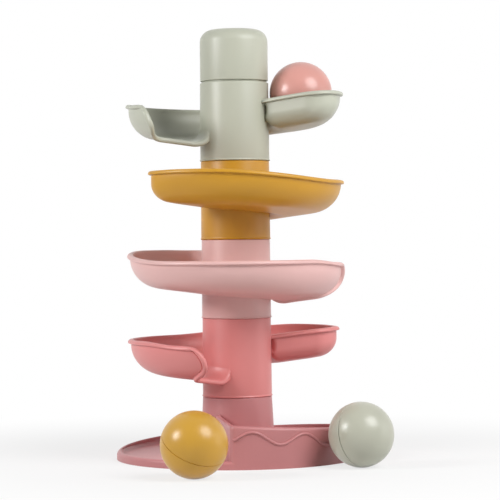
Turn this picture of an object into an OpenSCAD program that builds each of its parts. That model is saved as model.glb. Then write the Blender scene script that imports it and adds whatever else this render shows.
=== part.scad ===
// Spiral ball tower for a toddler: four stacking levels, each with a spiral trough,
// on a base tray with its own low spiral run, a cap on top and three two-shell balls.
// Z is up, the floor is z = 0 and the tower stands on the Z axis. Sizes are in mm.

/* [Column] */
// Outside diameter of the column at the foot of each level
column_d = 55.2; // [50:0.2:58]
// How much narrower the column is at the head of each level
column_draft = 0.6; // [0:0.1:1]
// Height of one level from joint to joint
level_h = 62.5; // [60:0.5:70]
// Height of the post on the base
post_h = 49; // [46:0.5:60]
// Width of the post where it stands on the base
post_foot_d = 60; // [58:0.5:66]
// Height of the cap
cap_h = 43.5; // [34:0.5:60]
// Radius of the cap's top edge
cap_round = 10; // [5:0.5:14]
// Rise of the cap's domed top
cap_dome = 1; // [0.2:0.1:3]
// Wall thickness of the mouldings
wall = 2.2; // [1.8:0.1:2.6]

/* [Stacking joint] */
// Length of the spigot that goes into the next piece
spigot_h = 14; // [10:0.5:18]
// Radial gap between spigot and socket
spigot_gap = 0.3; // [0.2:0.05:0.5]
// Rounding on the rims that meet at a joint
joint_round = 0.8; // [0.4:0.1:1.2]

/* [Spiral trough] */
// Play of a ball between the column and the trough's wall
ball_play = 4.8; // [3:0.1:10]
// Corner radius of the closed end, seen from above
end_corner = 19; // [18:0.5:24]
// Radius between the floor and the outer wall
floor_round = 18; // [12:0.5:18]
// Radius between the floor and the closed end
end_round = 11; // [8:0.5:14]
// Radius between the floor and the column
column_round = 15; // [10:0.5:16]
// Slope of the floor down towards the column, in degrees
floor_tilt = 7; // [4:0.5:8]
// Floor at the column above the level's foot, at the closed end
floor_start = 27; // [26:0.5:30]
// Fall of the floor in one full turn
floor_fall = 19.6; // [14:0.2:24]
// Rim above the level's foot, at the closed end
rim_start = 53.9; // [52:0.1:58]
// Step down of the rim after the closed end
rim_step = 7.6; // [4:0.2:9]
// Where the rim starts to step down, in degrees from the closed end
rim_step_from = 49; // [40:1:60]
// Over how many degrees the rim steps down
rim_step_over = 75; // [60:1:90]
// Further fall of the rim towards the exit
rim_exit_fall = 2.4; // [0:0.2:4]
// Over how many degrees before the exit that fall takes place
rim_exit_over = 60; // [40:1:80]
// Dip of the rim where the closed end meets the column
rim_end_dip = 5.8; // [0:0.2:8]
// Overhang of the flange on the rim
flange_out = 2.2; // [1.4:0.1:3]
// Height of the flange on the rim
flange_h = 2.8; // [2:0.1:3.6]
// Where the track ends at the rim, in degrees from the closed end
exit_rim = 239; // [234:1:242]
// Where the track ends at the bulge of the outer wall
exit_bulge = 248; // [242:1:250]
// Where the track ends at the foot of the outer wall
exit_foot = 237; // [234:1:242]
// Where the track ends at the column
exit_column = 254; // [246:1:258]

/* [Levels] */
// Turn of the first level above the base, in degrees
coral_turn = 6; // [-180:1:180]
// Turn of the second level
pink_turn = 108; // [-180:1:180]
// Turn of the third level
mustard_turn = -149; // [-180:1:180]
// Turn of the top level
sage_turn = -27; // [-45:1:-15]

/* [Base] */
// Outside radius of the base
base_r = 96.8; // [92:0.2:104]
// Thickness of the base wall
base_wall = 3.2; // [3:0.1:4]
// Rounding of the base wall's top edge
base_round = 2.6; // [1.5:0.1:2.8]
// Direction of the end wall of the base run, in degrees
base_turn = 279; // [240:1:300]
// How far the end wall passes beside the tower's axis
end_wall_offset = 17.7; // [10:0.1:22]
// Height of the base wall in the direction of the end wall
base_wall_h = 32.5; // [28:0.5:36]
// Fall of the base wall in one full turn
base_wall_fall = 36; // [30:0.5:40]
// Height of the low rim round the landing
base_rim_h = 6.4; // [6:0.1:9]
// Corner radius between the end wall and the outer wall
base_corner = 5; // [4:0.5:8]
// Floor of the base run in the direction of the end wall
base_floor_start = 13; // [10:0.5:15]
// Top of the landing floor
landing_z = 3.6; // [3.4:0.1:4.4]
// Height of the wave line from crest to trough
wave_h = 8.5; // [4:0.1:10]
// Middle of the wave line below the top of the wall
wave_down = 8.6; // [8:0.1:10]
// Direction of the first crest from the end wall's direction, in degrees
wave_crest = -2.2; // [-8:0.1:8]
// Angle of one whole wave
wave_angle = 25; // [20:1:30]
// Number of waves
wave_count = 6; // [2:1:6]
// Width of the raised wave line
wave_bead = 1.6; // [1:0.1:2.4]

/* [Balls] */
// Diameter of a ball
ball_d = 50; // [46:0.5:51]
// Wall of a ball's shell
ball_wall = 2; // [1.6:0.1:3]
// Width of the seam groove
seam = 0.6; // [0.3:0.1:1]
// Height of the tongue at the seam
tongue_h = 2; // [1:0.1:3]
// Gap between a resting ball and what it rests on
ball_gap = 0.35; // [0.3:0.05:0.6]
// Gap between the top ball and the column
rose_ball_gap = 0.8; // [0.4:0.1:2]
// Where the top ball lies, in degrees from the closed end of its trough
rose_ball_turn = 30; // [30:1:60]
// Gap on the floor between the base and the mustard ball
mustard_ball_gap = 33.5; // [3:0.5:60]
// Direction of the mustard ball from the tower, in degrees
mustard_ball_dir = -101.9; // [-130:0.1:-90]
// Gap on the floor between the base and the sage ball
sage_ball_gap = 5.9; // [3:0.1:60]
// Direction of the sage ball from the tower, in degrees
sage_ball_dir = -42.9; // [-60:0.1:-30]

/* [Hidden] */
$fn = 96;
foot_r = column_d / 2;
head_r = foot_r - column_draft / 2;
socket_r = foot_r - wall - 0.4;
spigot_r = socket_r - spigot_gap;
bury_r = head_r - 0.8;
trough_r = foot_r + ball_d + ball_play;
post_foot_r = post_foot_d / 2;
lead = 1;

// Stations of a tub: along its closed end, round its corner, then along its spiral
end_steps = 5;
corner_steps = 5;
// A distance larger than any in the toy
far = 1000;

function ease(x) = let (c = min(max(x, 0), 1)) c * c * (3 - 2 * c);
function clip(x) = min(max(x, 0), 1);
function polar(r, a) = [r * cos(a), r * sin(a)];
function turn_of(p) = let (a = atan2(p.y, p.x)) a < -60 ? a + 360 : a;
function unit(v) = v / max(norm(v), 1e-6);
function lifted(p, z) = [p.x, p.y, z];
function steps(n, a, b) = [for (i = [0 : n - 1]) a + (b - a) * i / n];

// Distance inwards from a tub's outline: a straight end at y = end_y, a round corner, an outer circle
function inset(p, outer, corner, end_y) =
    let (
        to_circle = outer - norm(p),
        to_end = p.x > 0 ? p.y - end_y : far,
        u = max(corner - to_end, 0),
        v = max(corner - to_circle, 0)
    )
    u > 0 && v > 0 ? corner - norm([u, v]) : min(to_end, to_circle);

// Direction straight out of a tub at a plan point
function outward(p, outer, corner, end_y) =
    let (
        to_circle = outer - norm(p),
        to_end = p.x > 0 ? p.y - end_y : far,
        u = max(corner - to_end, 0),
        v = max(corner - to_circle, 0)
    )
    u > 0 && v > 0 ? unit([0, -1] * u + unit(p) * v)
    : to_end < to_circle ? [0, -1]
    : unit(p);

// Rise of a round foot of radius r at distance d from the wall
function foot_rise(d, r) =
    let (c = min(max(d, 0), r))
    r - sqrt(max(r * r - (r - c) * (r - c), 0));

// A point of the tub's round corner, t = 0 on the end and 90 on the circle
function corner_point(outer, corner, end_y, t) =
    let (r = outer - corner * (1 - sin(t)), y = end_y + corner * (1 - cos(t)))
    [sqrt(r * r - y * y), y];

// Outline points of a tub, starting a little outside the radius where its floor ends
function tub_outline(inner, outer, corner, end_y, turns) =
    let (x0 = sqrt(pow(inner + 0.4, 2) - end_y * end_y), x1 = corner_point(outer, corner, end_y, 0).x)
    concat(
        [for (x = steps(end_steps, x0, x1)) [x, end_y]],
        [for (t = steps(corner_steps, 0, 90)) corner_point(outer, corner, end_y, t)],
        [for (a = turns) polar(outer, a)]
    );

// Where each station's line meets the column: turned ahead at the closed end, so that no two cross
function inner_turns(turns, first, from) = concat(
    steps(end_steps + corner_steps, first + 2, from + 12),
    [for (a = turns) a + 12 * (1 - ease((a - from) / 60))]
);

// A closed sheet between an upper and a lower grid of points
module sheet(top, bottom) {
    nj = len(top) - 1;
    nk = len(top[0]) - 1;
    w = nk + 1;
    low = (nj + 1) * w;
    function quad(a, b, c, d) = [[a, b, c], [a, c, d]];
    function cell(j, k) = quad(j * w + k, j * w + k + 1, j * w + w + k + 1, j * w + w + k);
    function under(j, k) = quad(low + j * w + k, low + j * w + w + k,
        low + j * w + w + k + 1, low + j * w + k + 1);
    points = concat([for (r = top) each r], [for (r = bottom) each r]);
    faces = concat(
        [for (j = [0 : nj - 1], k = [0 : nk - 1]) each cell(j, k)],
        [for (j = [0 : nj - 1], k = [0 : nk - 1]) each under(j, k)],
        [for (j = [0 : nj - 1]) each quad(j * w, j * w + w, low + j * w + w, low + j * w)],
        [for (j = [0 : nj - 1])
            each quad(j * w + nk, low + j * w + nk, low + j * w + w + nk, j * w + w + nk)],
        [for (k = [0 : nk - 1]) each quad(k, low + k, low + k + 1, k + 1)],
        [for (k = [0 : nk - 1])
            each quad(nj * w + k, nj * w + k + 1, low + nj * w + k + 1, low + nj * w + k)]
    );
    polyhedron(points, faces, convexity = 10);
}

// Spiral trough of a level, in the level's own frame with the closed end along +X

spiral_steps = 24;
exit_steps = 6;
exit_from = exit_foot - 50;
lip_w = 2.6;
corner_turn = turn_of(corner_point(trough_r, end_corner, 0, 90));

// Floor and rim at radius r and turn a from the closed end
function floor_z(r, a) = floor_start - floor_fall * a / 360 + (r - foot_r) * tan(floor_tilt);
function rim_z(r, a) =
    rim_start
    - rim_step * ease((a - rim_step_from) / rim_step_over)
    - rim_exit_fall * ease((a - exit_foot) / rim_exit_over + 1)
    - rim_end_dip * pow(clip((trough_r - wall - r) / (trough_r - foot_r)), 1.2);

// Round foot at a plan point: its radius, and its rise over the floor
function round_at(p) = end_round + (floor_round - end_round) * ease((turn_of(p) - 10) / 60);
function rise(p) = foot_rise(inset(p, trough_r, end_corner, 0), round_at(p));

// Two rounds that meet
function together(a, b) = pow(pow(max(a, 0), 3) + pow(max(b, 0), 3), 1 / 3);
// Rise of the underside of a round of radius r, for a wall of thickness w
function under_rise(d, r, w) =
    r + w - sqrt(max(pow(r + w, 2) - pow(r - min(max(d, -1.5), r), 2), 0));

// Shares of the way from the outer wall to the column: the floor, then the column's fillet
trough_w = trough_r - bury_r;
fillet_share = (column_round + foot_r - bury_r) / trough_w;
floor_shares = concat(
    [0.5 * (floor_round / trough_w + 1 - fillet_share)],
    [for (f = [1, 0.6, 0.3, 0.12, 0]) 1 - fillet_share * f]
);

spiral_turns = concat(
    steps(spiral_steps, corner_turn, exit_from),
    steps(exit_steps, exit_from, exit_foot),
    [exit_foot, exit_foot, exit_foot]
);
trough_outline = tub_outline(bury_r, trough_r, end_corner, 0, spiral_turns);
trough_inner = inner_turns(spiral_turns, 0, corner_turn);
last = len(trough_outline) - 1;

// The exit edge bulges forward on the wall, leans back to the rim and runs to the column: its turn for
// a point that stands the share h of the wall's height above the floor, s of the way to the column
bulge_at = 0.42;
function exit_turn(h, s) =
    let (c = clip(h), f = floor_round / trough_w)
    exit_foot
    + (exit_bulge - exit_foot) * (1 - pow(clip(1 - c / bulge_at), 2.5))
    + (exit_rim - exit_bulge) * pow(clip((c - bulge_at) / (1 - bulge_at)), 2.2)
    + (exit_column - exit_foot) * pow(clip((s - f) / (1 - f)), 1.8);
function along_exit(j) =
    j < last - exit_steps - 2 ? 0
    : clip((turn_of(trough_outline[j]) - exit_from) / (exit_foot - exit_from));
function set_back(j) = j == last - 2 ? lip_w + 0.8 : j == last - 1 ? lip_w : 0;
function moved(p, j, h, s) =
    let (k = along_exit(j), shift = k * (exit_turn(h, s) - exit_foot), r = norm(p))
    k == 0 ? p : polar(r, turn_of(p) + shift - set_back(j) / r * 180 / PI);

function wall_height(j) =
    let (p = trough_outline[j])
    rim_z(norm(p), turn_of(p)) - floor_z(norm(p), turn_of(p));
function plan_point(j, s) =
    let (out = trough_outline[j])
    out + (polar(bury_r, trough_inner[j]) - out) * s;

// Rise of the round at the column
function at_column(p) = foot_rise(norm(p) - foot_r + 0.3, column_round);

// A point of the wall or the round foot, h above the floor
function wall_point(j, h) =
    let (
        round = round_at(trough_outline[j]),
        p = plan_point(j, foot_rise(h, round) / trough_w),
        q = moved(p, j, h / wall_height(j), 0),
        up = h < round ? rise(p) : h,
        low = together(up, at_column(q))
    )
    [q.x, q.y, floor_z(norm(q), turn_of(q)) + (h < round ? low : max(up, min(low, wall_height(j) - 4)))];
function floor_point(j, s) =
    let (p = plan_point(j, s), q = moved(p, j, rise(p) / wall_height(j), s))
    [q.x, q.y, floor_z(norm(q), turn_of(q)) + together(rise(p), at_column(q))];

// Heights of a station's wall rows: rim, flange, then down the round foot in equal turns
function wall_rows(j) =
    let (
        top = wall_height(j),
        round = round_at(trough_outline[j]),
        foot = min(top - flange_h - 0.8, round),
        turn = acos(1 - foot / round)
    )
    concat(
        [top, top - flange_h, top - flange_h - 0.8],
        [for (f = [0.8, 0.6, 0.4, 0.2, 0]) round * (1 - cos(turn * f))]
    );

trough_top = [
    for (j = [0 : last])
        concat(
            [for (h = wall_rows(j)) wall_point(j, h)],
            [for (s = floor_shares) floor_point(j, s)]
        )
];
rows = len(trough_top[0]) - 1;

// Underside of the floor near the column: it curls up with the floor
function curl(p, thick) =
    together(
        under_rise(inset(p, trough_r, end_corner, 0), round_at(p), thick),
        under_rise(norm(p) - foot_r, column_round, thick)
    ) - thick;

// Outer face: the inner face set off by the wall, with a flange along the rim and the exit
function outer_point(j, k) =
    let (
        p = trough_top[j][k],
        plan = [p.x, p.y],
        thick = wall + (k < 2 || j > last - 2 ? flange_out : 0),
        out = outward(plan, trough_r, end_corner, 0),
        level_out = 1 - clip(inset(plan, trough_r, end_corner, 0) / round_at(plan)),
        down = 1 - clip((p.z - floor_z(norm(plan), turn_of(plan))) / round_at(plan)),
        n = unit([out.x * level_out, out.y * level_out, -down])
    )
    k > rows - 5 ? lifted(p, floor_z(norm(plan), turn_of(plan)) + curl(plan, thick))
    : k < 2 ? p + [out.x, out.y, 0] * thick
    : p + n * thick;
trough_bottom = [for (j = [0 : last]) [for (k = [0 : rows]) outer_point(j, k)]];

// Column of one level: socket below, spigot above, closed on top
module column() {
    j = joint_round;
    top = level_h + spigot_h;
    rotate_extrude()
        polygon([
            [socket_r + lead * 0.4, 0],
            [foot_r - j, 0],
            [foot_r - j * 0.3, j * 0.3],
            [foot_r, j],
            [head_r, level_h - j],
            [head_r - j * 0.3, level_h - j * 0.3],
            [head_r - j, level_h],
            [spigot_r, level_h],
            [spigot_r, top - lead],
            [spigot_r - lead, top],
            [0, top],
            [0, top - wall],
            [spigot_r - wall, top - wall],
            [spigot_r - wall, level_h - wall * 2],
            [socket_r, level_h - wall * 2 - 3],
            [socket_r, lead * 0.4]
        ]);
}

module level() {
    union() {
        column();
        sheet(trough_top, trough_bottom);
    }
}

module coral_track() {
    color("#c5746f")
        translate([0, 0, post_h])
            rotate(coral_turn) level();
}

module light_pink_track() {
    color("#dba7a3")
        translate([0, 0, post_h + level_h])
            rotate(pink_turn) level();
}

module mustard_track() {
    color("#c98f35")
        translate([0, 0, post_h + 2 * level_h])
            rotate(mustard_turn) level();
}

module sage_track() {
    color("#b6b7a3")
        translate([0, 0, post_h + 3 * level_h])
            rotate(sage_turn) level();
}

// Base run, in a frame whose +X is the direction of its end wall

base_in_r = base_r - base_wall;
base_bury_r = post_foot_r - 1.6;
base_steps = 40;
base_last_turn = (base_wall_h - base_rim_h + 0.4) / base_wall_fall * 360;
base_first_turn = turn_of(corner_point(base_in_r, base_corner, -end_wall_offset, 90));
base_fall = (base_floor_start - landing_z + 0.4) / base_last_turn * 360;
base_turns = concat(steps(base_steps, base_first_turn, base_last_turn), [base_last_turn]);
base_outline = tub_outline(base_bury_r, base_in_r, base_corner, -end_wall_offset, base_turns);
base_inner = inner_turns(base_turns, -asin(end_wall_offset / base_bury_r), base_first_turn);
base_width = base_in_r - base_bury_r;
base_shares = concat(
    [for (a = [0, 30, 60, 90]) (0.3 + base_corner * (1 - cos(a))) / base_width],
    [0.4, 0.75, 1]
);
base_edge = [
    [base_wall, base_round],
    [base_wall - base_round * 0.3, base_round * 0.3],
    [base_wall - base_round, 0],
    [0, 0]
];

// How far the landing runs on under the run and the end wall, in degrees
landing_lap = 10;

function base_wall_z(a) = base_wall_h - base_wall_fall * a / 360;
function base_floor_z(a) = base_floor_start - base_fall * a / 360;
function base_plan(j, s) =
    let (out = base_outline[j])
    out + (polar(base_bury_r, base_inner[j]) - out) * s;
function base_rise(p) =
    foot_rise(inset(p, base_in_r, base_corner, -end_wall_offset), base_corner);
function base_edge_point(j, e) =
    base_outline[j] + outward(base_outline[j], base_in_r, base_corner, -end_wall_offset) * e.x;

base_top = [
    for (j = [0 : len(base_outline) - 1])
        concat(
            [
                for (e = base_edge)
                    lifted(base_edge_point(j, e), base_wall_z(turn_of(base_outline[j])) - e.y)
            ],
            [
                for (s = base_shares)
                    let (p = base_plan(j, s))
                    lifted(p, base_floor_z(turn_of(p)) + min(base_rise(p), 2.4))
            ]
        )
];
base_bottom = [
    for (j = [0 : len(base_outline) - 1])
        concat(
            [for (e = base_edge) lifted(base_edge_point(j, e), 0)],
            [for (s = base_shares) let (p = base_plan(j, s)) lifted(p, base_floor_z(turn_of(p)) - wall)]
        )
];

// Raised wave line on the outer face of the base wall
wave_steps = 8;
wave_first = base_first_turn;
function wave_z(a) =
    base_wall_z(a) - wave_down + wave_h / 2 * cos(360 * (a - wave_crest) / wave_angle);
function wave_row(i, r) =
    let (
        a = wave_first + wave_angle * i / wave_steps,
        rise = (wave_z(a + 0.5) - wave_z(a - 0.5)) / (base_r * PI / 180),
        n = unit([-rise, 1]) * wave_bead / 2
    )
    [
        for (e = [-1, 1])
            lifted(polar(r, a + e * n.x / base_r * 180 / PI), wave_z(a) + e * n.y)
    ];
wave_ids = [0 : wave_steps * wave_count];

module base_post() {
    j = joint_round;
    top = post_h + spigot_h;
    rotate_extrude()
        polygon([
            [post_foot_r - wall - 0.4, 0],
            [post_foot_r, 0],
            [foot_r, post_h - j],
            [foot_r - j * 0.3, post_h - j * 0.3],
            [foot_r - j, post_h],
            [spigot_r, post_h],
            [spigot_r, top - lead],
            [spigot_r - lead, top],
            [0, top],
            [0, top - wall],
            [spigot_r - wall, top - wall],
            [spigot_r - wall, post_h - wall * 2],
        ]);
}

// Landing: a flat floor with a low rim, round the part of the base that the run leaves free
module base_landing() {
    from = base_last_turn - landing_lap;
    to = 360 - asin(end_wall_offset / base_in_r) + landing_lap / 2;
    r = base_round;
    rotate(from)
        rotate_extrude(angle = to - from)
            polygon([
                [base_bury_r, landing_z - wall],
                [base_in_r - 1, landing_z - wall],
                [base_in_r - 1, 0],
                [base_r + 0.2, 0],
                [base_r + 0.2, base_rim_h - r],
                [base_r + 0.2 - r * 0.3, base_rim_h - r * 0.3],
                [base_r + 0.2 - r, base_rim_h],
                [base_in_r - 0.4, base_rim_h],
                [base_in_r - 1.2, base_rim_h - 0.6],
                [base_in_r - 2.6, landing_z + 0.5],
                [base_in_r - 4, landing_z],
                [base_bury_r, landing_z]
            ]);
}

module base_tray() {
    color("#b5696c")
        union() {
            base_post();
            rotate(base_turn) {
                sheet(base_top, base_bottom);
                base_landing();
                sheet([for (i = wave_ids) wave_row(i, base_r + 0.7)],
                    [for (i = wave_ids) wave_row(i, base_r - 1)]);
            }
        }
}

// Cap: a domed cup that goes over the top spigot
module top_cap() {
    r = foot_r - 0.5;
    j = joint_round;
    c = cap_round;
    in = spigot_r - wall;
    arc = [for (a = [0 : 10 : 80]) [r - c + c * cos(a), cap_h - cap_dome - c + c * sin(a)]];
    inner = [for (a = [75 : -15 : 0]) [in - c + c * cos(a), cap_h - cap_dome - wall - c + c * sin(a)]];
    color("#bcbdab")
        translate([0, 0, post_h + 4 * level_h])
            rotate_extrude()
                polygon(concat(
                    [
                        [socket_r + lead * 0.4, 0],
                        [r - j, 0],
                        [r - j * 0.3, j * 0.3],
                        [r, j]
                    ],
                    arc,
                    [[r - c, cap_h - cap_dome * 0.8], [(r - c) / 2, cap_h - cap_dome * 0.2], [0, cap_h]],
                    [[0, cap_h - cap_dome - wall]],
                    inner,
                    [[in, spigot_h + 4], [socket_r, spigot_h + 1], [socket_r, lead * 0.4]]
                ));
}

// Balls: two half shells each, with a tongue and groove at the seam

ball_r = ball_d / 2;
ball_in_r = ball_r - ball_wall;
tongue_r = ball_r - ball_wall / 2;
rose_ball_r = foot_r + ball_r + rose_ball_gap;
rose_ball_z = post_h + 3 * level_h + floor_z(rose_ball_r, rose_ball_turn)
    + (ball_r + ball_gap) / cos(floor_tilt);
rose_at = lifted(polar(rose_ball_r, sage_turn + rose_ball_turn), rose_ball_z);
mustard_at = lifted(polar(base_r + mustard_ball_gap + ball_r, mustard_ball_dir), ball_r);
sage_at = lifted(polar(base_r + sage_ball_gap + ball_r, sage_ball_dir), ball_r);

// Tilt and heading of each ball's seam
rose_seam = [17, -90];
mustard_seam = [54, -118];
sage_seam = [81, 138];

module half_ball() {
    difference() {
        sphere(r = ball_r);
        sphere(r = ball_in_r);
        translate([0, 0, -ball_d])
            cylinder(r = ball_d, h = ball_d);
        rotate_extrude()
            polygon([[ball_r - seam, 0], [ball_r + 1, -1], [ball_r + 1, seam / 2], [ball_r - 0.1, seam / 2]]);
    }
}

module groove_shell() {
    difference() {
        half_ball();
        translate([0, 0, -1])
            cylinder(r = tongue_r + 0.05, h = tongue_h + 1.1);
    }
}

module tongue_shell() {
    union() {
        mirror([0, 0, 1]) half_ball();
        difference() {
            translate([0, 0, -1])
                cylinder(r = tongue_r, h = tongue_h + 1);
            translate([0, 0, -2])
                cylinder(r = ball_in_r - 0.1, h = tongue_h + 4);
        }
    }
}

module seated(at, tilt) {
    translate(at)
        rotate([0, tilt.x, tilt.y]) children();
}

module rose_ball_groove_shell() {
    color("#d4857f") seated(rose_at, rose_seam) groove_shell();
}

module rose_ball_tongue_shell() {
    color("#d4857f") seated(rose_at, rose_seam) tongue_shell();
}

module mustard_ball_groove_shell() {
    color("#cf9a3c") seated(mustard_at, mustard_seam) groove_shell();
}

module mustard_ball_tongue_shell() {
    color("#cf9a3c") seated(mustard_at, mustard_seam) tongue_shell();
}

module sage_ball_groove_shell() {
    color("#bdbeac") seated(sage_at, sage_seam) groove_shell();
}

module sage_ball_tongue_shell() {
    color("#bdbeac") seated(sage_at, sage_seam) tongue_shell();
}

base_tray();
coral_track();
light_pink_track();
mustard_track();
sage_track();
top_cap();
rose_ball_groove_shell();
rose_ball_tongue_shell();
mustard_ball_groove_shell();
mustard_ball_tongue_shell();
sage_ball_groove_shell();
sage_ball_tongue_shell();
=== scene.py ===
import math

import bmesh
import bpy
import numpy as np
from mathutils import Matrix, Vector


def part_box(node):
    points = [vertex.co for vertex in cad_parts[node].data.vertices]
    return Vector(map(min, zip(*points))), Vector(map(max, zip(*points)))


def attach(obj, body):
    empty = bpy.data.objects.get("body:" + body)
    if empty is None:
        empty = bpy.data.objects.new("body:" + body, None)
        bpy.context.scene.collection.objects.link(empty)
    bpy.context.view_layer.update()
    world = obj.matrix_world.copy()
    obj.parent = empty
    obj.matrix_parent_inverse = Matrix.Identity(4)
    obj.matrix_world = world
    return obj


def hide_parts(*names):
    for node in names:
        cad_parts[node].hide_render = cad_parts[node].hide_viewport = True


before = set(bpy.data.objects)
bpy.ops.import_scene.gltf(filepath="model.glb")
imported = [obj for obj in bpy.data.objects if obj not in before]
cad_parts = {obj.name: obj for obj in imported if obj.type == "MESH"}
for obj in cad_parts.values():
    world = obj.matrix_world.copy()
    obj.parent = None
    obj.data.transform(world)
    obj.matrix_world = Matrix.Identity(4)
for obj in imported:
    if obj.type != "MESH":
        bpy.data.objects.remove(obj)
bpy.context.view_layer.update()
mm = 0.001
mergeWithin = 0.001 * mm
shortestEdge = 0.0005 * mm
firstDegrees = -60
print("frame loaded:", ", ".join(sorted(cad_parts)))


# sRGB hex to linear: the standard curve, straight near black and a power of 2.4 above
def hexToLinear(code):
    srgb = np.array([int(code[i:i + 2], 16) for i in (1, 3, 5)]) / 255
    linear = np.where(srgb <= 0.04045, srgb / 12.92, ((srgb + 0.055) / 1.055) ** 2.4)
    return (*linear.tolist(), 1.0)


# Adds one node, sets its properties and inputs, and links each input that is given as a socket
def addNode(tree, kind, inputs=None, **settings):
    node = tree.nodes.new(kind)
    for key, value in settings.items():
        setattr(node, key, value)
    for key, value in (inputs or {}).items():
        if isinstance(value, bpy.types.NodeSocket):
            tree.links.new(value, node.inputs[key])
        else:
            node.inputs[key].default_value = value
    return node


# Smooth step: 3x^2 - 2x^3 between 0 and 1
def ease(x):
    c = np.clip(x, 0, 1)
    return c * c * (3 - 2 * c)


def polar(radius, degrees):
    a = np.radians(degrees)
    return np.stack([radius * np.cos(a), radius * np.sin(a)], -1)


# Direction of a plan point in degrees, counted on from firstDegrees
def turnOf(plan):
    a = np.degrees(np.arctan2(plan[..., 1], plan[..., 0]))
    return np.where(a < firstDegrees, a + 360, a)


def unitOf(vectors):
    return vectors / np.maximum(np.linalg.norm(vectors, axis=-1, keepdims=True), 1e-9)


# Arc points: centre plus radius times (cos, sin), from one angle to another
def arc(centreX, centreY, radius, start, end, count):
    a = np.radians(np.linspace(start, end, count))
    return np.stack([centreX + radius * np.cos(a), centreY + radius * np.sin(a)], -1)


# Quads of a grid whose columns close into a ring; the rows close too where asked
def ringFaces(rows, columns, closeRows=False):
    last = rows if closeRows else rows - 1
    j, k = np.meshgrid(np.arange(last), np.arange(columns), indexing="ij")
    j2, k2 = (j + 1) % rows, (k + 1) % columns
    corners = [j * columns + k, j2 * columns + k, j2 * columns + k2, j * columns + k2]
    return np.stack(corners, -1).reshape(-1, 4)


def meshObject(name, points, faces):
    mesh = bpy.data.meshes.new(name)
    mesh.from_pydata(np.asarray(points, float).tolist(), [], faces)
    mesh.validate()
    mesh.update()
    piece = bpy.data.objects.new(name, mesh)
    bpy.context.scene.collection.objects.link(piece)
    return piece


# A closed profile (radius, height) turned about Z; a point on the axis gives a ring of equal points,
# which are merged
def turnedPiece(name, profile, segments):
    a = np.linspace(0, 2 * np.pi, segments, endpoint=False)[:, None]
    r, z = profile[:, 0][None], profile[:, 1][None]
    points = np.stack([r * np.cos(a), r * np.sin(a), z + 0 * a], -1).reshape(-1, 3) * mm
    faces = ringFaces(segments, len(profile), closeRows=True).tolist()
    return merged(meshObject(name, points, faces))


# Equal points merged, so that poles and seams close
def merged(piece):
    work = bmesh.new()
    work.from_mesh(piece.data)
    bmesh.ops.remove_doubles(work, verts=work.verts, dist=mergeWithin)
    bmesh.ops.dissolve_degenerate(work, edges=work.edges, dist=shortestEdge)
    bmesh.ops.recalc_face_normals(work, faces=work.faces)
    work.to_mesh(piece.data)
    work.free()
    return piece


# Joins closed shapes into one closed shape, so that no wall is left inside another
def joined(name, shapes):
    whole = shapes[0]
    for shape in shapes[1:]:
        union = whole.modifiers.new("union", "BOOLEAN")
        union.operation = "UNION"
        union.solver = "MANIFOLD"
        union.object = shape
    graph = bpy.context.evaluated_depsgraph_get()
    mesh = bpy.data.meshes.new_from_object(whole.evaluated_get(graph))
    for shape in shapes:
        bpy.data.objects.remove(shape)
    mesh.name = name
    piece = bpy.data.objects.new(name, mesh)
    bpy.context.scene.collection.objects.link(piece)
    return piece


# Smooth shading, broken only where two faces meet at a real corner
def finishPiece(piece, body, node, material, corner=34):
    piece.data.polygons.foreach_set("use_smooth", np.ones(len(piece.data.polygons), bool))
    piece.data.set_sharp_from_angle(angle=math.radians(corner))
    piece.data.materials.clear()
    piece.data.materials.append(material)
    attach(piece, body)
    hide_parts(node)
    print("made", piece.name, "with", len(piece.data.polygons), "faces on", body)


# ABS, injection moulded in a finely spark-eroded tool: a satin skin with soft, wide highlights,
# a barely uneven gloss and a pigment that is even to the eye
def mouldedAbs(name, look):
    material = bpy.data.materials.new(name)
    material.use_nodes = True
    tree = material.node_tree
    shader = tree.nodes["Principled BSDF"]
    shader.inputs["IOR"].default_value = look["ior"]
    place = addNode(tree, "ShaderNodeTexCoord").outputs["Object"]
    flow = addNode(tree, "ShaderNodeTexNoise", {
        "Vector": place, "Scale": 1 / (look["flowMm"] * mm), "Detail": look["flowDetail"],
    })
    shade = addNode(tree, "ShaderNodeMix", {
        0: flow.outputs["Fac"], 6: hexToLinear(look["darkHex"]), 7: hexToLinear(look["lightHex"]),
    }, data_type="RGBA")
    tree.links.new(shade.outputs[2], shader.inputs["Base Color"])
    gloss = addNode(tree, "ShaderNodeMapRange", {
        "Value": flow.outputs["Fac"],
        "To Min": look["roughness"] - look["glossSpread"],
        "To Max": look["roughness"] + look["glossSpread"],
    })
    tree.links.new(gloss.outputs["Result"], shader.inputs["Roughness"])
    grain = addNode(tree, "ShaderNodeTexNoise", {
        "Vector": place, "Scale": 1 / (look["grainMm"] * mm), "Detail": look["grainDetail"],
    })
    skin = addNode(tree, "ShaderNodeBump", {
        "Height": grain.outputs["Fac"],
        "Strength": look["grainStrength"],
        "Distance": look["grainDepthMm"] * mm,
    })
    tree.links.new(skin.outputs["Normal"], shader.inputs["Normal"])
    return material


# The eroded grain is about 0.1 mm on the real part: it is drawn at 0.8 mm so that it shows at all
def absLook(lightHex, darkHex, roughness):
    return {
        "lightHex": lightHex, "darkHex": darkHex, "roughness": roughness, "ior": 1.53,
        "flowMm": 35, "flowDetail": 3.0, "glossSpread": 0.03,
        "grainMm": 0.8, "grainDetail": 2.0, "grainStrength": 0.12, "grainDepthMm": 0.02,
    }


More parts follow.
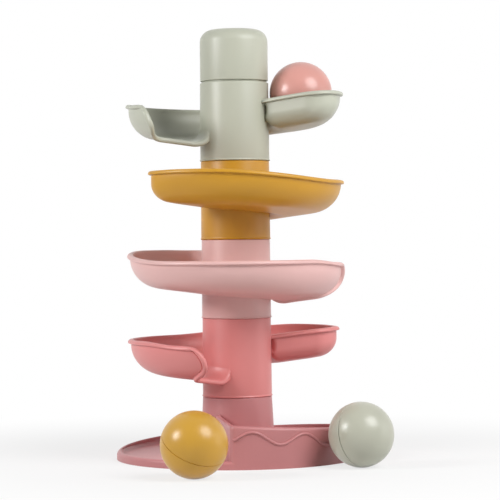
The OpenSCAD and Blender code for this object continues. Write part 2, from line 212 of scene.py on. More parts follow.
skins = {
    "mauve_plastic": absLook("#c27f80", "#bd7a7b", 0.40),
    "coral_plastic": absLook("#de8a88", "#d98482", 0.40),
    "light_pink_plastic": absLook("#e4b9b5", "#dfb3af", 0.40),
    "mustard_plastic": absLook("#ca941e", "#c58e18", 0.40),
    "sage_plastic": absLook("#b9bbab", "#b4b6a6", 0.40),
    "rose_ball_plastic": absLook("#d5998f", "#d09389", 0.30),
    "mustard_ball_plastic": absLook("#cf9e35", "#ca982f", 0.30),
    "sage_ball_plastic": absLook("#babbab", "#b5b6a6", 0.30),
}
plastics = {slot: mouldedAbs("abs_" + slot, look) for slot, look in skins.items()}
print("materials:", len(plastics))


# Column of a level: socket below, spigot above, with round rims where two pieces meet

column = {
    "footRadius": 27.6, "headRadius": 27.3, "socketRadius": 25.0, "spigotRadius": 24.7,
    "levelHeight": 62.5, "spigotHeight": 14, "wall": 2.2, "rimRound": 0.8, "lead": 1.0,
    "footFlare": 0.5, "flareHeight": 0.8, "flareSupport": 1.4, "socketChamfer": 0.4, "socketCone": 3,
    "postHeight": 49, "roundPoints": 6, "segments": 192,
}


# Spigot that stands on a given height: its outside up, its closed top, and its inside down past that height
def spigotProfile(c, foot):
    top, lead, inside = foot + c["spigotHeight"], c["lead"], c["spigotRadius"] - c["wall"]
    return np.concatenate([
        [[c["spigotRadius"], foot], [c["spigotRadius"], top - lead]],
        arc(c["spigotRadius"] - lead, top - lead, lead, 0, 90, c["roundPoints"])[1:],
        [[0, top], [0, top - c["wall"]], [inside, top - c["wall"]], [inside, foot - 2 * c["wall"]]],
    ])


def columnProfile(c):
    level, r, points = c["levelHeight"], c["rimRound"], c["roundPoints"]
    return np.concatenate([
        [[c["socketRadius"] + c["socketChamfer"], 0]],
        arc(c["footRadius"] + c["footFlare"] - r, r, r, -90, 0, points),
        [[c["footRadius"], r + c["flareHeight"]]],
        [[c["footRadius"], r + c["flareSupport"] * c["flareHeight"]]],
        arc(c["headRadius"] - r, level - r, r, 0, 90, points),
        spigotProfile(c, level),
        [[c["socketRadius"], level - 2 * c["wall"] - c["socketCone"]]],
        [[c["socketRadius"], c["socketChamfer"]]],
    ])


# Spiral trough of a level: a closed section (floor, round foot, wall, bead, and back outside) carried along
# the trough's outline, from the closed end to the exit

trough = {
    "insideRadius": 82.4, "buryRadius": 26.5, "endCorner": 19, "wall": 2.2,
    "floorTilt": 7, "floorStart": 27, "floorFall": 19.6, "floorRound": 18, "endRound": 10, "roundOver": 30,
    "columnRound": 12.5, "columnSink": 0.3, "underLeast": -1.5,
    "rimStart": 53.9, "rimStep": 7.6, "stepFrom": 49, "stepOver": 75, "rimEndDip": 5.8, "dipPower": 1.2,
    "rimCrest": 0.5, "crestFrom": 8, "crestOver": 20, "crestEnd": 42, "crestFade": 24,
    "rimExitFall": 2.6, "exitOver": 30, "rimClear": 4,
    "exitRim": 239, "exitBulge": 248, "bulgeAt": 0.42, "exitFoot": 237, "exitColumn": 254, "exitFrom": 190,
    "bulgePower": 2.5, "leanPower": 1.8, "leanRoot": 0.59, "sweepPower": 1.8, "slopeStep": 0.01,
    "beadOut": 2.4, "beadHeight": 3.1, "beadShare": 0.7, "beadPower": 2.1, "heelPower": 4.0, "beadClear": 0.6,
    "lipWidth": 3.4, "lipFade": 1.4, "lipSlope": 2.5, "lipOut": 2.7, "lipUnder": 1.9, "lipPower": 2.3,
    "lipShift": 0.2, "lipSpread": 1.4, "creaseDeep": 0.7, "innerRound": 0.8, "noseRound": 1.9,
    "endRoll": 4.5, "rollLeast": 0.02, "endTuck": 3.5, "tuckOver": 4,
    "endStations": 26, "cornerStations": 26, "spiralStations": 130, "exitStations": 50, "lipStations": 28,
    "floorRows": 14, "filletRows": 16, "filletSpread": 1.5, "curlPast": 2, "footRows": 16, "wallRows": 6,
    "beadRows": 19, "innerRoundRows": 5,
}


# Outline of a tub in plan: a circle cut off by a straight end, with a round corner between them
tub = {"clear": 0.4, "endSpread": 1.8, "firstTurn": 2, "aheadTurn": 12, "aheadOver": 60, "farOff": 1000}


# Distances in from the circle and from the straight end, which is far off on the other side of the column
def edgeDistances(plan, outer, endY):
    toEnd = np.where(plan[..., 0] > 0, plan[..., 1] - endY, tub["farOff"])
    return outer - np.linalg.norm(plan, axis=-1), toEnd


# Distance in from the outline: to the straight end, to the circle, or to the round corner between them
def inset(plan, outer, corner, endY):
    toCircle, toEnd = edgeDistances(plan, outer, endY)
    u, v = np.maximum(corner - toEnd, 0), np.maximum(corner - toCircle, 0)
    return np.where((u > 0) & (v > 0), corner - np.hypot(u, v), np.minimum(toEnd, toCircle))


# Direction straight out of the outline at a plan point
def outward(plan, outer, corner, endY):
    toCircle, toEnd = edgeDistances(plan, outer, endY)
    u, v = np.maximum(corner - toEnd, 0)[..., None], np.maximum(corner - toCircle, 0)[..., None]
    radial = unitOf(plan)
    straight = np.array([0.0, -1.0]) + 0 * plan
    blend = unitOf(straight * u + radial * v)
    return np.where((u > 0) & (v > 0), blend, np.where((toEnd < toCircle)[..., None], straight, radial))


# Rise of a round foot of radius r at distance d from the wall: r - sqrt(r^2 - (r - d)^2)
def footRise(d, r):
    c = np.clip(d, 0, r)
    return r - np.sqrt(np.maximum(r * r - (r - c) ** 2, 0))


# Points of the round corner between the straight end and the circle
def cornerPoints(outer, corner, endY, degrees):
    t = np.radians(degrees)
    r = outer - corner * (1 - np.sin(t))
    y = endY + corner * (1 - np.cos(t))
    return np.stack([np.sqrt(r * r - y * y), y], -1)


# Outline of a tub: straight end, round corner, then the circle at the given turns
def tubOutline(inner, outer, corner, endY, turns, endCount, cornerCount):
    x0 = math.sqrt((inner + tub["clear"]) ** 2 - endY ** 2)
    x1 = cornerPoints(outer, corner, endY, 0.0)[0]
    x = x0 + (x1 - x0) * np.linspace(0, 1, endCount, endpoint=False) ** tub["endSpread"]
    end = np.stack([x, np.full(endCount, float(endY))], -1)
    bend = cornerPoints(outer, corner, endY, np.linspace(0, 90, cornerCount, endpoint=False))
    return np.concatenate([end, bend, polar(outer, turns)])


# Where each station's line meets the column, turned ahead at the closed end so that no two lines cross
def innerTurns(turns, first, start, count):
    ahead = np.linspace(first + tub["firstTurn"], start + tub["aheadTurn"], count, endpoint=False)
    fade = 1 - ease((turns - start) / tub["aheadOver"])
    return np.concatenate([ahead, turns + tub["aheadTurn"] * fade])


# A closed tube of sections: the first and the last floorCount points of a loop face each other, so each end
# cap is a strip of quads between them and one polygon for the rest
def sectionTube(name, loops, floorCount):
    rows, columns = loops.shape[:2]
    faces = ringFaces(rows, columns).tolist()
    i = np.arange(floorCount - 1)
    strip = np.stack([i, i + 1, columns - 2 - i, columns - 1 - i], -1)
    rest = np.arange(floorCount - 1, columns - floorCount + 1)
    end = (rows - 1) * columns
    faces += strip.tolist() + [rest.tolist()]
    faces += (strip[:, ::-1] + end).tolist() + [(rest[::-1] + end).tolist()]
    piece = meshObject(name, loops.reshape(-1, 3) * mm, faces)
    return merged(piece)


def troughLoops(t, c):
    outer, corner, bury = t["insideRadius"], t["endCorner"], t["buryRadius"]
    foot, width = c["footRadius"], t["insideRadius"] - t["buryRadius"]
    cornerTurn = float(turnOf(cornerPoints(outer, corner, 0, 90.0)))
    turns = np.concatenate([
        np.linspace(cornerTurn, t["exitFrom"], t["spiralStations"], endpoint=False),
        np.linspace(t["exitFrom"], t["exitFoot"], t["exitStations"], endpoint=False),
        np.full(t["lipStations"], float(t["exitFoot"])),
    ])
    outline = tubOutline(bury, outer, corner, 0, turns, t["endStations"], t["cornerStations"])
    inner = polar(bury, innerTurns(turns, 0, cornerTurn, t["endStations"] + t["cornerStations"]))
    count = len(outline)

    # How far each station has entered the exit, and how far it stands back from the exit edge
    exitShare = np.zeros(count)
    exitShare[-len(turns):] = np.clip((turns - t["exitFrom"]) / (t["exitFoot"] - t["exitFrom"]), 0, 1)
    lipReach = t["lipWidth"] + t["lipFade"]
    setBack = exitShare * lipReach
    setBack[-t["lipStations"]:] = lipReach * (1 - np.linspace(0, 1, t["lipStations"])) ** t["lipSpread"]
    edgeDepth = np.where(np.arange(count) < count - t["lipStations"], lipReach, setBack)

    # Floor: a spiral that falls evenly, tilted up from the column to the wall
    def floorZ(r, a):
        tilt = math.tan(math.radians(t["floorTilt"]))
        return t["floorStart"] - t["floorFall"] * a / 360 + (r - foot) * tilt

    # Rim: a start height, plus a low crest, less a step, a fall at the exit and a dip towards the column
    def rimZ(r, a):
        dip = np.clip((outer - t["wall"] - r) / (outer - foot), 0, 1) ** t["dipPower"]
        crest = ease((a - t["crestFrom"]) / t["crestOver"]) - ease((a - t["crestEnd"]) / t["crestFade"])
        step = ease((a - t["stepFrom"]) / t["stepOver"])
        exitFall = ease((a - t["exitFoot"]) / t["exitOver"] + 1)
        return (t["rimStart"] + t["rimCrest"] * crest - t["rimStep"] * step
                - t["rimExitFall"] * exitFall - t["rimEndDip"] * dip)

    def roundAt(plan):
        return t["endRound"] + (t["floorRound"] - t["endRound"]) * ease(turnOf(plan) / t["roundOver"])

    # The exit edge bulges forward on the wall and bends back to the rim; on the floor it runs to the column
    def exitTurn(h, s):
        f, m, c = t["floorRound"] / width, t["bulgeAt"], np.clip(h, 0, 1)
        bulge = 1 - np.clip(1 - c / m, 0, 1) ** t["bulgePower"]
        lean = 1 - (1 - np.clip((c - m) / (1 - m), 0, 1) ** t["leanPower"]) ** t["leanRoot"]
        sweep = np.clip((s - f) / (1 - f), 0, 1) ** t["sweepPower"]
        return ((t["exitBulge"] - t["exitFoot"]) * bulge + (t["exitRim"] - t["exitBulge"]) * lean
                + (t["exitColumn"] - t["exitFoot"]) * sweep)

    outlineR, outlineTurn = np.linalg.norm(outline, axis=-1), turnOf(outline)
    wallHeight = (rimZ(outlineR, outlineTurn) - floorZ(outlineR, outlineTurn))[:, None]
    footRound = roundAt(outline)[:, None]

    # Distance back from the exit edge, measured square to it: times the square root of 1 + slope^2
    def moved(plan, h, s):
        r = np.linalg.norm(plan, axis=-1)
        steep = np.sqrt(1 - np.clip(1 - h * wallHeight / footRound, 0, 1) ** 2)
        e = t["slopeStep"]
        slopeUp = np.radians(exitTurn(h + e, s) - exitTurn(h - e, s)) / (2 * e) * r / wallHeight * steep
        slopeIn = np.radians(exitTurn(h, s + e) - exitTurn(h, s - e)) / (2 * e) * r / width * (1 - steep)
        stretch = np.sqrt(1 + np.minimum(slopeUp ** 2 + slopeIn ** 2, t["lipSlope"] ** 2))
        back = np.degrees(setBack[:, None] * stretch / r) * (exitShare[:, None] > 0)
        return polar(r, turnOf(plan) + exitShare[:, None] * exitTurn(h, s) - back)

    def planAt(s):
        return outline[:, None] + (inner - outline)[:, None] * s[..., None]

    def rise(plan):
        return footRise(inset(plan, outer, corner, 0), roundAt(plan))

    # Two rounds that meet: the cube root of the sum of their cubes
    def together(one, other):
        return np.cbrt(np.maximum(one, 0) ** 3 + np.maximum(other, 0) ** 3)

    # Underside of a round of radius r, at distance d and a thickness w below:
    # r + w - sqrt((r + w)^2 - (r - d)^2)
    def underRise(d, r, w):
        return r + w - np.sqrt(np.maximum((r + w) ** 2 - (r - np.clip(d, t["underLeast"], r)) ** 2, 0))

    # Floor rows from the column outwards: the fillet at the column, then the open floor
    fillet = (t["columnRound"] + foot - bury) / width
    shares = np.concatenate([
        1 - fillet * np.linspace(0, 1, t["filletRows"], endpoint=False) ** t["filletSpread"],
        np.linspace(1 - fillet, t["floorRound"] / width, t["floorRows"], endpoint=False),
    ])
    s = np.broadcast_to(shares, (count, len(shares)))
    plan = planAt(s)
    floorPlan = moved(plan, rise(plan) / wallHeight, s)
    floorR = np.linalg.norm(floorPlan, axis=-1)
    ground = floorZ(floorR, turnOf(floorPlan))
    atColumn = footRise(floorR - foot + t["columnSink"], t["columnRound"])
    floorTop = np.concatenate([floorPlan, (ground + together(rise(plan), atColumn))[..., None]], -1)

    # Wall rows upwards by height over the floor: round foot in equal turns, then straight to the bead
    footTop = np.minimum(wallHeight - t["beadHeight"] - t["beadClear"], footRound)
    footTurn = np.arccos(1 - footTop / footRound)
    climb = np.linspace(0, 1, t["footRows"])
    footHeights = footRound * (1 - np.cos(footTurn * climb))
    up = np.linspace(0, 1, t["wallRows"] + 1)[1:]
    wallHeights = footTop + (wallHeight - t["beadHeight"] - footTop) * up

    def wallPoints(h):
        plan = planAt(footRise(h, footRound) / width)
        q = moved(plan, h / wallHeight, 0)
        r = np.linalg.norm(q, axis=-1)
        up = np.where(h < footRound, rise(plan), h)
        low = together(up, footRise(r - foot + t["columnSink"], t["columnRound"]))
        high = np.maximum(up, np.minimum(low, wallHeight - t["rimClear"]))
        z = floorZ(r, turnOf(q)) + np.where(h < footRound, low, high)
        return np.concatenate([q, z[..., None]], -1)

    # Direction out of the material: level on the wall, straight down under the floor
    def outOf(points):
        plan = points[..., :2]
        r = roundAt(plan)
        level = 1 - np.clip(inset(plan, outer, corner, 0) / r, 0, 1)
        down = 1 - np.clip((points[..., 2] - floorZ(np.linalg.norm(plan, axis=-1), turnOf(plan))) / r, 0, 1)
        side = outward(plan, outer, corner, 0) * level[..., None]
        return unitOf(np.concatenate([side, -down[..., None]], -1))

    # Bead along the exit edge: a round ridge as wide as the lip, with a fine crease beside it
    power = t["lipPower"]
    middle = t["lipWidth"] / 2
    ridge = np.clip(1 - np.abs((edgeDepth - middle) / middle) ** power, 0, 1) ** (1 / power)
    front = np.clip(1 - np.clip(1 - edgeDepth / middle, 0, 1) ** power, 0, 1) ** (1 / power)
    edgeInset = footRise(edgeDepth, t["noseRound"])[:, None, None]
    lipOut = (t["lipOut"] * ridge)[:, None]
    crease = t["creaseDeep"] * np.sin(np.pi * np.clip((edgeDepth - t["lipWidth"]) / t["lipFade"], 0, 1))

    wallTop = wallPoints(np.concatenate([footHeights, wallHeights], 1))
    lower = np.concatenate([floorTop, wallTop], 1)
    normals = outOf(lower)
    lipShare = ease((lower[..., 2] - ground[:, -1:]) / t["floorRound"] + t["lipShift"])
    lipHere = (t["lipUnder"] + (t["lipOut"] - t["lipUnder"]) * lipShare) * ridge[:, None]
    thick = (t["wall"] + lipHere - lipShare * crease[:, None])[..., None]

    # Beside the column the end wall rolls away in a quarter round, which leaves a crevice
    fromColumn = np.where(np.arange(count) < t["endStations"], outline[:, 0] - foot, t["endRoll"])
    roll = np.sqrt(1 - (1 - np.clip(fromColumn / t["endRoll"], t["rollLeast"], 1)) ** 2)[:, None, None]
    under = lower + normals * thick * roll
    # The underside curls down the column in a round of its own
    floorThick = thick[:, :plan.shape[1], 0]
    endRise = underRise(inset(plan, outer, corner, 0), roundAt(plan), floorThick)
    curl = together(endRise, underRise(floorR - foot, t["columnRound"], floorThick)) - floorThick
    curledUnder = np.concatenate([floorPlan, (ground + curl)[..., None]], -1)
    curlRows = t["filletRows"] + t["curlPast"]
    under[:, :curlRows] = curledUnder[:, :curlRows]
    lower = lower + normals * edgeInset
    # Below the bead the end wall tucks in beside the column, which makes the crevice deep
    tuck = t["endTuck"] * np.clip(1 - fromColumn / t["endRoll"], 0, 1)[:, None] ** 2
    for surface in (lower, under):
        drop = rimZ(outlineR, outlineTurn)[:, None] - t["beadHeight"] - surface[..., 2]
        surface[..., 1] += tuck * ease(drop / t["tuckOver"])

    # Rim: round inner edge, flat top, then the bead outside, each a depth below the rim and a step outwards
    psi = np.radians(np.linspace(0, 90, t["innerRoundRows"]))
    depthIn = t["innerRound"] * (1 - np.sin(psi))
    outIn = t["innerRound"] * (1 - np.cos(psi))
    # Bead: a long round from the rim down to its widest line, then a tight one back under it
    phi = np.linspace(0, np.pi, t["beadRows"])
    over = np.cos(phi) > 0
    bend = 2 / np.where(over, t["beadPower"], t["heelPower"])
    tall = t["beadHeight"] * np.where(over, t["beadShare"], 1 - t["beadShare"])
    upward = tall * np.sign(np.cos(phi)) * np.abs(np.cos(phi)) ** bend
    depthOut = t["beadHeight"] * t["beadShare"] - upward
    outOut = np.abs(np.sin(phi)) ** bend
    beadOut = np.maximum(t["beadOut"] * outOut * front[:, None], lipOut * np.where(over, outOut, 1))
    depth = np.broadcast_to(np.concatenate([depthIn, depthOut]), (count, len(psi) + len(phi)))
    out = np.concatenate([np.broadcast_to(outIn, (count, len(psi))), t["wall"] + beadOut], 1)
    rim = wallPoints(wallHeight - np.maximum(depth, edgeInset[..., 0]))
    side = outward(rim[..., :2], outer, corner, 0)
    out = np.maximum(out, edgeInset[..., 0])
    rim = np.concatenate([rim[..., :2] + side * out[..., None], rim[..., 2:]], -1)

    loops = np.concatenate([lower, rim, under[:, ::-1]], 1)
    return loops, lower.shape[1]


troughSections, troughFloorRows = troughLoops(trough, column)
levels = {
    "coral_track": {"body": "coral_level", "slot": "coral_plastic", "step": 0, "turn": 6},
    "light_pink_track": {"body": "light_pink_level", "slot": "light_pink_plastic", "step": 1, "turn": 108},
    "mustard_track": {"body": "mustard_level", "slot": "mustard_plastic", "step": 2, "turn": -149},
    "sage_track": {"body": "sage_level", "slot": "sage_plastic", "step": 3, "turn": -29.5},
}


# Turns and moves a mesh in its vertices
def moveMesh(piece, turning, offset):
    points = np.empty(len(piece.data.vertices) * 3)
    piece.data.vertices.foreach_get("co", points)
    points = points.reshape(-1, 3) @ turning.T + offset
    piece.data.vertices.foreach_set("co", points.ravel())
    piece.data.update()


def aboutZ(degrees):
    a = math.radians(degrees)
    return np.array([[math.cos(a), -math.sin(a), 0], [math.sin(a), math.cos(a), 0], [0, 0, 1]])


def aboutY(degrees):
    a = math.radians(degrees)
    return np.array([[math.cos(a), 0, math.sin(a)], [0, 1, 0], [-math.sin(a), 0, math.cos(a)]])


def placeMesh(piece, degrees, lift):
    moveMesh(piece, aboutZ(degrees), [0, 0, lift * mm])


for node, level in levels.items():
    name = node.replace("_track", "Track")
    shell = joined(name, [
        turnedPiece(name + "Column", columnProfile(column), column["segments"]),
        sectionTube(name + "Trough", troughSections, troughFloorRows),
    ])
    placeMesh(shell, level["turn"], column["postHeight"] + level["step"] * column["levelHeight"])
    finishPiece(shell, level["body"], node, plastics[level["slot"]])


# Base tray: a run that falls from the end wall round the post, a flat landing, the post and a raised wave

base = {
    "outerRadius": 96.75, "turn": 279, "endWallOffset": 17.7, "corner": 1.2, "rimHeight": 6.4, "wall": 3.15,
    "wallHeight": 32.5, "wallFall": 36, "wallSteps": (3.0, 1.5), "topRound": 2.6, "innerRound": 0.6,
    "floorStart": 13, "floorThick": 2.2, "floorRound": 5, "floorLift": 2.4, "floorClear": 0.3, "runSink": 0.4,
    "postFoot": 30, "postBury": 1.6, "postLean": 0.4,
    "landingFloor": 3.6, "landingLap": 10, "landingWall": 1, "landingRound": 3.4, "landingRoundIn": 4.2,
    "landingRoundFrom": -30, "landingRimIn": 0.2,
    "waveHeight": 8.5, "waveDown": 8.6, "waveCrest": -2.2, "waveAngle": 25, "waveCount": 6,
    "waveWidth": 2.2, "waveRise": 1.2, "waveSink": 1.0, "waveLead": 1.0, "waveStations": 24, "wavePoints": 9,
    "endStations": 30, "cornerStations": 14, "runStations": 150, "landingStations": 60, "floorRows": 14,
    "footRows": 8, "topPoints": 9, "innerPoints": 5, "landingPoints": 7, "segments": 192,
}


# What the base's shapes share; the run ends where its wall and floor have sunk just below the landing's
baseInside = base["outerRadius"] - base["wall"]
baseBury = base["postFoot"] - base["postBury"]
runFirst = float(turnOf(cornerPoints(baseInside, base["corner"], -base["endWallOffset"], 90.0)))
runLast = (base["wallHeight"] - base["rimHeight"] + base["runSink"]) / base["wallFall"] * 360
runFall = (base["floorStart"] - base["landingFloor"] + base["runSink"]) / runLast * 360


# Height of the base wall's top at a turn
def wallTopAt(b, turn):
    return b["wallHeight"] - b["wallFall"] * turn / 360


# Section of the run: floor from the post to the wall, up the wall, over its round top, down outside, and
# back under the wall's foot and the floor
def runLoops(b):
    endY, corner = -b["endWallOffset"], b["corner"]
    turns = np.linspace(runFirst, runLast, b["runStations"])
    outline = tubOutline(baseBury, baseInside, corner, endY, turns, b["endStations"], b["cornerStations"])
    first = -math.degrees(math.asin(b["endWallOffset"] / baseBury))
    inner = polar(baseBury, innerTurns(turns, first, runFirst, b["endStations"] + b["cornerStations"]))
    width = baseInside - baseBury
    wallTop = wallTopAt(b, turnOf(outline))[:, None]
    footTurns = np.radians(np.linspace(90, 0, b["footRows"]))
    clear, r = b["floorClear"], b["floorRound"]
    shares = np.concatenate([
        np.linspace(1, (clear + r) / width, b["floorRows"], endpoint=False),
        (clear + r * (1 - np.cos(footTurns))) / width,
    ])
    plan = outline[:, None] + (inner - outline)[:, None] * shares[None, :, None]
    ground = b["floorStart"] - runFall * turnOf(plan) / 360
    lift = np.minimum(footRise(inset(plan, baseInside, corner, endY), r), b["floorLift"])
    floorTop = np.concatenate([plan, (ground + lift)[..., None]], -1)
    floorUnder = np.concatenate([plan, (ground - b["floorThick"])[..., None]], -1)
    # Wall steps: how far out of the inner face, and how far below the top
    r, i, w = b["topRound"], b["innerRound"], b["wall"]
    steps = np.concatenate([
        [[0, depth] for depth in b["wallSteps"]],
        arc(i, i, i, 180, 270, b["innerPoints"]),
        arc(w - r, r, r, -90, 0, b["topPoints"]),
    ])
    side = outward(outline, baseInside, corner, endY)[:, None]
    wallPlan = outline[:, None] + side * steps[None, :, :1]
    wallZ = wallTop - steps[None, :, 1]
    wallUp = np.concatenate([wallPlan, wallZ[..., None]], -1)
    footPlan = outline[:, None] + side * np.array([w, 0.0])[None, :, None]
    footZ = np.zeros((len(outline), 2, 1))
    wallFoot = np.concatenate([footPlan, footZ], -1)
    loops = np.concatenate([floorTop, wallUp, wallFoot, floorUnder[:, ::-1]], 1)
    return loops, floorTop.shape[1]


# A closed profile turned through part of a circle, with a flat polygon at each end
def sectorPiece(name, profile, start, end, count):
    a = np.radians(np.linspace(start, end, count))[:, None]
    r, z = profile[:, 0][None], profile[:, 1][None]
    points = np.stack([r * np.cos(a), r * np.sin(a), z + 0 * a], -1).reshape(-1, 3) * mm
    faces = ringFaces(count, len(profile)).tolist()
    ends = np.arange(len(profile))
    faces += [ends[::-1].tolist(), (ends + (count - 1) * len(profile)).tolist()]
    return merged(meshObject(name, points, faces))


# Landing: a flat floor with a round up to a low rim
def landingPiece(b):
    outer, top, z = b["outerRadius"], b["rimHeight"], b["landingFloor"]
    r, i, low = b["topRound"], b["innerRound"], b["landingRound"]
    foot, under = baseInside - b["landingWall"], z - b["floorThick"]
    inward = baseInside - b["landingRoundIn"]
    profile = np.concatenate([
        [[baseBury, under], [foot, under], [foot, 0], [outer, 0]],
        arc(outer - r, top - r, r, 0, 90, b["topPoints"]),
        arc(baseInside - b["landingRimIn"], top - i, i, 90, 180, b["innerPoints"]),
        arc(inward, z + low, low, b["landingRoundFrom"], -90, b["landingPoints"]),
        [[baseBury, z]],
    ])
    end = 360 - math.degrees(math.asin(b["endWallOffset"] / baseInside)) + b["landingLap"] / 2
    return sectorPiece("landing", profile, runLast - b["landingLap"], end, b["landingStations"])


def postProfile(b, c):
    r, foot = c["rimRound"], b["postFoot"]
    return np.concatenate([
        [[foot - c["wall"] - b["postLean"], 0], [foot, 0]],
        arc(c["footRadius"] - r, c["postHeight"] - r, r, 0, 90, c["roundPoints"]),
        spigotProfile(c, c["postHeight"]),
    ])


# Wave: a half-round bead whose middle line is the wall's top, less a drop, plus a cosine
def wavePiece(b):
    last = runFirst + b["waveAngle"] * b["waveCount"]
    a = np.linspace(runFirst - b["waveLead"], last, b["waveStations"] * b["waveCount"] + 1)

    def line(turn):
        crest = np.cos(2 * np.pi * (turn - b["waveCrest"]) / b["waveAngle"])
        return wallTopAt(b, turn) - b["waveDown"] + b["waveHeight"] / 2 * crest

    # Slope: the rise over one degree, divided by the length of one degree on the wall
    slope = (line(a + 0.5) - line(a - 0.5)) / np.radians(b["outerRadius"])
    across = unitOf(np.stack([-slope, np.ones_like(a)], -1)) * b["waveWidth"] / 2
    t = np.radians(np.linspace(0, 180, b["wavePoints"]))
    steps = np.concatenate([np.cos(t), [-1, 1]])
    rise = np.concatenate([b["waveRise"] * np.sin(t), [-b["waveSink"], -b["waveSink"]]])
    turn = a[:, None] + np.degrees(across[:, :1] * steps / b["outerRadius"])
    height = line(a)[:, None] + across[:, 1:] * steps
    radius = b["outerRadius"] + rise + 0 * turn
    points = np.concatenate([polar(radius, turn), height[..., None]], -1).reshape(-1, 3) * mm
    faces = ringFaces(len(a), len(steps)).tolist()
    ends = np.arange(len(steps))
    faces += [ends.tolist(), (ends[::-1] + (len(a) - 1) * len(steps)).tolist()]
    return merged(meshObject("wave", points, faces))


runSections, runFloorRows = runLoops(base)
baseParts = [sectionTube("baseRun", runSections, runFloorRows), landingPiece(base), wavePiece(base)]
for part in baseParts:
    placeMesh(part, base["turn"], 0)
tray = joined("baseTray", [turnedPiece("basePost", postProfile(base, column), base["segments"])] + baseParts)
finishPiece(tray, "base", "base_tray", plastics["mauve_plastic"])


# Cap: a cup with a round top edge and a faintly domed top

cap = {
    "radius": 27.1, "height": 43.5, "topRound": 10, "dome": 1, "wall": 2.2, "socketDepth": 15,
    "gapHeight": 1.2, "gapDepth": 1.8, "footClear": 0.1,
    "domePoints": 10, "topPoints": 18, "insidePoints": 10,
}


def capProfile(k, c):
    r, e, j, socket = k["radius"], k["topRound"], c["rimRound"], c["socketRadius"]
    inside, top, neck = c["spigotRadius"] - k["wall"], k["height"] - k["dome"], r - k["gapDepth"]
    x = np.linspace(r - e, 0, k["domePoints"])
    # Dome: its height times 1 less the square of the share of the way out
    dome = np.stack([x, top + k["dome"] * (1 - (x / (r - e)) ** 2)], -1)
    return np.concatenate([
        [[socket + k["footClear"], 0], [neck, 0], [neck, k["gapHeight"]]],
        arc(r - j, k["gapHeight"] + j, j, -90, 0, c["roundPoints"]),
        arc(r - e, top - e, e, 0, 90, k["topPoints"])[:-1],
        dome,
        [[0, top - k["wall"]]],
        arc(inside - e, top - k["wall"] - e, e, 90, 0, k["insidePoints"]),
        [[inside, k["socketDepth"] + c["socketCone"]], [socket, k["socketDepth"]]],
        [[socket, c["socketChamfer"]]],
    ])


capPiece = turnedPiece("topCap", capProfile(cap, column), column["segments"])
placeMesh(capPiece, 0, column["postHeight"] + len(levels) * column["levelHeight"])
finishPiece(capPiece, "cap", "top_cap", plastics["sage_plastic"])


# Balls: two half shells with a tongue and a groove, and a fine open seam between them

ball = {
    "radius": 24.97, "wall": 1.97, "seam": 0.6, "tongueHeight": 2, "grooveDeeper": 0.1, "slack": 0.05,
    "segments": 160, "arcPoints": 60,
    "rose": {"tilt": 17, "heading": -90},
    "mustard": {"tilt": 34, "heading": -51},
    "sage": {"tilt": 79, "heading": -45},
}


# Profile of the upper half: outer sphere down to the seam's chamfer, the stepped joint, inner sphere up
def halfProfile(b, tongue):
    r, inside, middle = b["radius"], b["radius"] - b["wall"], b["radius"] - b["wall"] / 2
    low = math.degrees(math.asin(b["seam"] / 2 / r))
    outer = arc(0, 0, r, 90, low, b["arcPoints"])
    # The tongue stands past the joint, inside the middle of the wall, and the groove gives it room
    if tongue:
        joint = [[r - b["seam"], 0], [middle, 0], [middle, -b["tongueHeight"]], [inside, -b["tongueHeight"]]]
        bottom = 0.0
    else:
        step, deep = middle + b["slack"], b["tongueHeight"] + b["grooveDeeper"]
        joint = [[r - b["seam"], 0], [step, 0], [step, deep]]
        bottom = math.degrees(math.asin(deep / inside))
    inner = arc(0, 0, inside, bottom, 90, b["arcPoints"] // 2)
    return np.concatenate([outer, joint, inner])


# A half ball, turned over for the tongue side, tilted about Y, headed about Z and moved to its centre
def ballHalf(name, colour, tongue):
    shell = turnedPiece(name, halfProfile(ball, tongue), ball["segments"])
    low = np.minimum(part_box(colour + "_ball_groove_shell")[0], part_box(colour + "_ball_tongue_shell")[0])
    high = np.maximum(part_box(colour + "_ball_groove_shell")[1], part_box(colour + "_ball_tongue_shell")[1])
    over = np.diag([1, -1, -1] if tongue else [1, 1, 1])
    turning = aboutZ(ball[colour]["heading"]) @ aboutY(ball[colour]["tilt"]) @ over
    moveMesh(shell, turning, (low + high) / 2)
    return shell


for colour in ("rose", "mustard", "sage"):
    for side in ("groove", "tongue"):
        half = ballHalf(colour + "Ball" + side.capitalize(), colour, side == "tongue")
        slot = colour + "_ball_plastic"
        finishPiece(half, colour + "_ball", f"{colour}_ball_{side}_shell", plastics[slot])


# 1 where a surface is seen, straight, in a reflection or through glass, and 0 where it only gives light
def seenPlainly(tree):
    path = addNode(tree, "ShaderNodeLightPath").outputs
    seen = path["Is Camera Ray"]
    for kind in ("Is Glossy Ray", "Is Transmission Ray"):
        seen = addNode(tree, "ShaderNodeMath", {0: seen, 1: path[kind]}, operation="MAXIMUM").outputs["Value"]
    return seen


# Floor: a white sweep that carries the shadow near the toy and is seen as plain white further off

stage = {
    "half": 6.0, "hex": "#e4e4e4", "roughness": 0.9, "specular": 0.1,
    "nearM": 0.12, "farM": 0.45, "nearShare": 0.72,
}

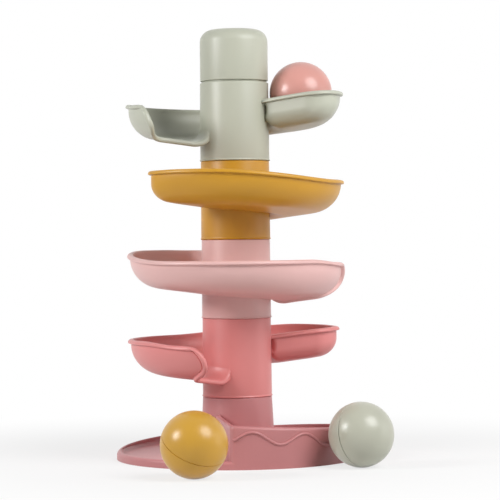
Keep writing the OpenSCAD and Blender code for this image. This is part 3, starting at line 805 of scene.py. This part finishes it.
corners = np.array([[-1, -1, 0], [1, -1, 0], [1, 1, 0], [-1, 1, 0]]) * stage["half"]
floor = meshObject("floor", corners, [[0, 1, 2, 3]])
paper = bpy.data.materials.new("paperSweep")
paper.use_nodes = True
tree = paper.node_tree
shader = tree.nodes["Principled BSDF"]
shader.inputs["Base Color"].default_value = hexToLinear(stage["hex"])
shader.inputs["Roughness"].default_value = stage["roughness"]
shader.inputs["Specular IOR Level"].default_value = stage["specular"]
place = addNode(tree, "ShaderNodeTexCoord").outputs["Object"]
away = addNode(tree, "ShaderNodeVectorMath", {0: place}, operation="LENGTH")
fade = addNode(tree, "ShaderNodeMapRange", {
    "Value": away.outputs["Value"], "From Min": stage["nearM"], "From Max": stage["farM"],
    "To Min": stage["nearShare"],
}, interpolation_type="SMOOTHSTEP")
seen = addNode(tree, "ShaderNodeMath", {
    0: seenPlainly(tree), 1: fade.outputs["Result"],
}, operation="MULTIPLY")
glow = addNode(tree, "ShaderNodeEmission", {"Color": (1, 1, 1, 1), "Strength": 1.0})
blend = addNode(tree, "ShaderNodeMixShader", {
    "Fac": seen.outputs["Value"], 1: shader.outputs["BSDF"], 2: glow.outputs["Emission"],
})
tree.links.new(blend.outputs["Shader"], tree.nodes["Material Output"].inputs["Surface"])
floor.data.materials.append(paper)

# Studio: a small box to the left, a larger one to the right, a faint one at the side, and a room that gives a
# dim light, brighter from the sweep behind the toy, and that is seen as plain white

lamps = {
    "leftBox": {"at": (-0.97, -0.48, 0.59), "size": 0.42, "power": 7.98},
    "rightBox": {"at": (0.60, -0.56, 0.76), "size": 0.65, "power": 8.64},
    "sideBox": {"at": (1.25, -0.1, 0.35), "size": 0.8, "power": 1.8},
}
lampTarget = (0.0, 0.0, 0.16)
room = {"level": 0.03, "sweep": 1.0, "sweepFrom": 0.25, "sweepTo": 0.75}

for name, lamp in lamps.items():
    light = bpy.data.lights.new(name, "AREA")
    light.shape = "DISK"
    light.size = lamp["size"]
    light.energy = lamp["power"]
    item = bpy.data.objects.new(name, light)
    bpy.context.scene.collection.objects.link(item)
    item.location = lamp["at"]
    aim = Vector(lampTarget) - item.location
    item.rotation_euler = aim.to_track_quat("-Z", "Y").to_euler()

world = bpy.data.worlds.new("studioRoom")
bpy.context.scene.world = world
world.use_nodes = True
tree = world.node_tree
way = addNode(tree, "ShaderNodeTexCoord").outputs["Generated"]
back = addNode(tree, "ShaderNodeSeparateXYZ", {"Vector": way}).outputs["Y"]
lit = addNode(tree, "ShaderNodeMapRange", {
    "Value": back, "From Min": room["sweepFrom"], "From Max": room["sweepTo"],
    "To Min": room["level"], "To Max": room["sweep"],
}, interpolation_type="SMOOTHSTEP")
level = addNode(tree, "ShaderNodeMapRange", {
    "Value": seenPlainly(tree), "To Min": lit.outputs["Result"], "To Max": 1.0,
})
tree.nodes["Background"].inputs["Color"].default_value = (1, 1, 1, 1)
tree.links.new(level.outputs["Result"], tree.nodes["Background"].inputs["Strength"])

# Camera at the photograph's view: level, 1.67 m in front of the tower, with a small roll

view = {
    "at": (0.0, -1.672, 0.1744), "focalPx": 2090, "frame": 500, "centrePx": (235.76, 239.0),
    "rollDegrees": 0.64, "sensorMm": 36,
}
camera = bpy.data.cameras.new("camera")
camera.sensor_width = view["sensorMm"]
camera.lens = view["focalPx"] / view["frame"] * camera.sensor_width
camera.shift_x = (view["frame"] / 2 - view["centrePx"][0]) / view["frame"]
camera.shift_y = (view["centrePx"][1] - view["frame"] / 2) / view["frame"]
eye = bpy.data.objects.new("camera", camera)
bpy.context.scene.collection.objects.link(eye)
eye.location = view["at"]
eye.rotation_euler = (math.pi / 2, math.radians(view["rollDegrees"]), 0)
bpy.context.scene.camera = eye
bpy.context.scene.view_settings.view_transform = "Standard"
print("studio set")
